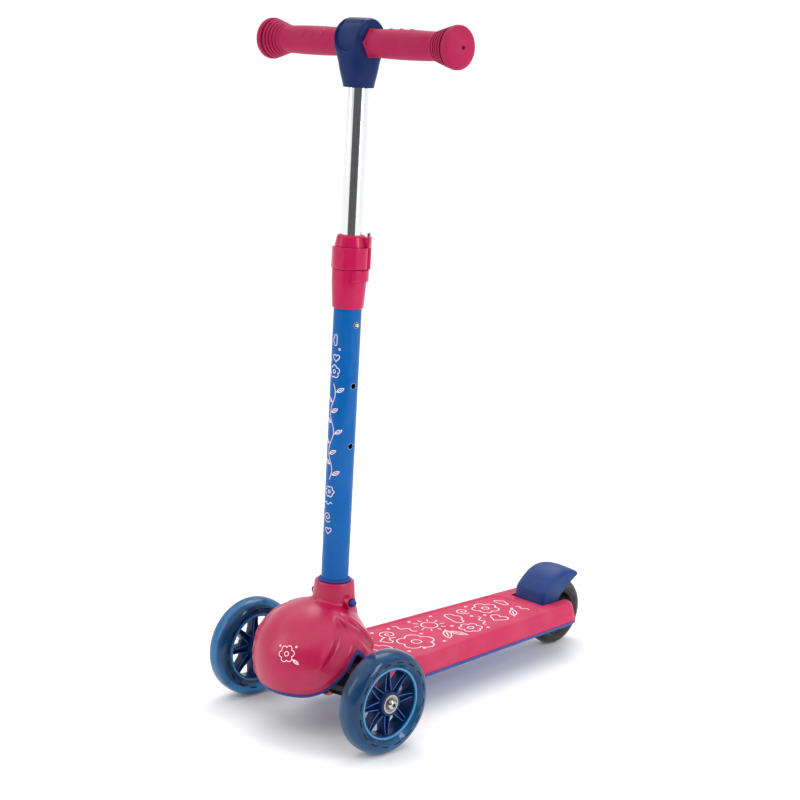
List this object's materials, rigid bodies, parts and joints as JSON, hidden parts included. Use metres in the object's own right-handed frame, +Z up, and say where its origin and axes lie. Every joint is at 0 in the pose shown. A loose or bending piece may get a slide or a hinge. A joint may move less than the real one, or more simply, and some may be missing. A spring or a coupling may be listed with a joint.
{
  "type": "three wheel kids scooter",
  "caption": "Child's scooter that steers by leaning, with a moulded hood and deck, wide front wheels, a rear foot brake and a T handlebar on a telescoping column with a quick clamp.",
  "frame": {"origin": "on the floor, midway along the scooter's length and width", "axes": "+Z up, -Y the way it rides, +X to the rider's left"},
  "size_m": [0.3146, 0.5379, 0.8084],
  "materials": {
    "pink_shell": "satin moulded pink",
    "pink_hood": "glossy moulded dark pink",
    "pink_clamp": "glossy moulded magenta",
    "pink_grip": "matt soft pink",
    "blue_tube": "gloss blue paint",
    "blue_shell": "satin moulded blue",
    "navy_shell": "matt moulded navy",
    "wheel_blue": "glossy moulded deep blue",
    "tyre_blue": "see-through teal blue",
    "tyre_grey": "see-through smoke grey",
    "nylon": "matt black",
    "red_rubber": "soft red",
    "chrome": "polished plate",
    "steel": "plain zinc",
    "brass": "polished"
  },
  "bodies": {
    "frame": {"deck_shell": "pink_shell", "base_tray": "blue_shell", "front_hood": "pink_hood", "nose_pan": "blue_shell", "truck_bracket": "nylon", "pivot_bolt": "steel", "pivot_nut": "steel", "pivot_cap": "red_rubber", "lean_stop_left": "red_rubber", "lean_stop_right": "red_rubber", "lower_tube": "blue_tube", "column_bush": "navy_shell", "clamp_body": "pink_clamp", "guide_bush": "nylon", "clamp_pin": "steel", "release_spring": "steel", "rear_axle_bolt": "steel", "rear_axle_nut": "steel", "rear_spacer_left": "steel", "rear_spacer_right": "steel", "brake_pin": "steel", "brake_spring": "steel"},
    "truck": {"truck_beam": "nylon", "pivot_rubber": "red_rubber", "axle_bolt_left": "steel", "axle_bolt_right": "steel", "axle_washer_left": "steel", "axle_washer_right": "steel"},
    "wheel_left": {"front_rim_left": "wheel_blue", "front_tyre_left": "tyre_blue", "front_spacer_left": "steel", "front_bearing_left_a": "steel", "front_bearing_left_b": "steel"},
    "wheel_right": {"front_rim_right": "wheel_blue", "front_tyre_right": "tyre_blue", "front_spacer_right": "steel", "front_bearing_right_a": "steel", "front_bearing_right_b": "steel"},
    "wheel_rear": {"rear_rim": "nylon", "rear_tyre": "tyre_grey", "rear_spacer": "steel", "rear_bearing_a": "steel", "rear_bearing_b": "steel"},
    "brake": {"brake_fender": "blue_shell", "brake_pad": "steel"},
    "mast": {"upper_tube": "chrome", "slide_bush": "nylon", "snap_leaf": "steel", "bar_crown": "navy_shell", "bar_tube": "steel", "grip_left": "pink_grip", "grip_right": "pink_grip"},
    "stud": {"snap_stud": "brass"},
    "lever": {"clamp_lever": "pink_clamp"},
    "button_left": {"release_button_left": "blue_shell"},
    "button_right": {"release_button_right": "blue_shell"}
  },
  "joints": [
    {"name": "truck_lean", "type": "hinge", "parent": "frame", "child": "truck", "pos_m": [0, -0.1955, 0.06], "axis": [0, -0.7071, 0.7071], "range_deg": [-10, 10], "stiffness_Nm_per_rad": 30},
    {"name": "wheel_spin_left", "type": "hinge", "parent": "truck", "child": "wheel_left", "pos_m": [0.116, -0.1955, 0.06], "axis": [1, 0, 0], "continuous": true},
    {"name": "wheel_spin_right", "type": "hinge", "parent": "truck", "child": "wheel_right", "pos_m": [-0.116, -0.1955, 0.06], "axis": [1, 0, 0], "continuous": true},
    {"name": "wheel_spin_rear", "type": "hinge", "parent": "frame", "child": "wheel_rear", "pos_m": [0, 0.2245, 0.045], "axis": [1, 0, 0], "continuous": true},
    {"name": "brake_press", "type": "hinge", "parent": "frame", "child": "brake", "pos_m": [0, 0.1715, 0.057], "axis": [-1, 0, 0], "range_deg": [0, 4.2], "stiffness_Nm_per_rad": 2, "springref_deg": -6.88},
    {"name": "height_slide", "type": "slide", "parent": "frame", "child": "mast", "axis": [0, 0.0302, 0.9995], "range_m": [-0.14, 0], "deforming": ["snap_stud"]},
    {"name": "snap_press", "type": "slide", "parent": "mast", "child": "stud", "axis": [-1, 0, 0], "range_m": [0, 0.004], "stiffness_N_per_m": 600, "springref_m": -0.001, "deforming": ["snap_leaf"]},
    {"name": "clamp_lever_swing", "type": "hinge", "parent": "frame", "child": "lever", "pos_m": [0.01286, -0.14226, 0.54429], "axis": [0, 0.0302, 0.9995], "range_deg": [0, 95]},
    {"name": "release_press_left", "type": "slide", "parent": "frame", "child": "button_left", "axis": [-1, 0, 0], "range_m": [0, 0.0035], "stiffness_N_per_m": 400, "springref_m": -0.001, "deforming": ["release_spring"]},
    {"name": "release_press_right", "type": "slide", "parent": "frame", "child": "button_right", "axis": [1, 0, 0], "range_m": [0, 0.0035], "stiffness_N_per_m": 400, "springref_m": -0.001, "deforming": ["release_spring"]}
  ]
}
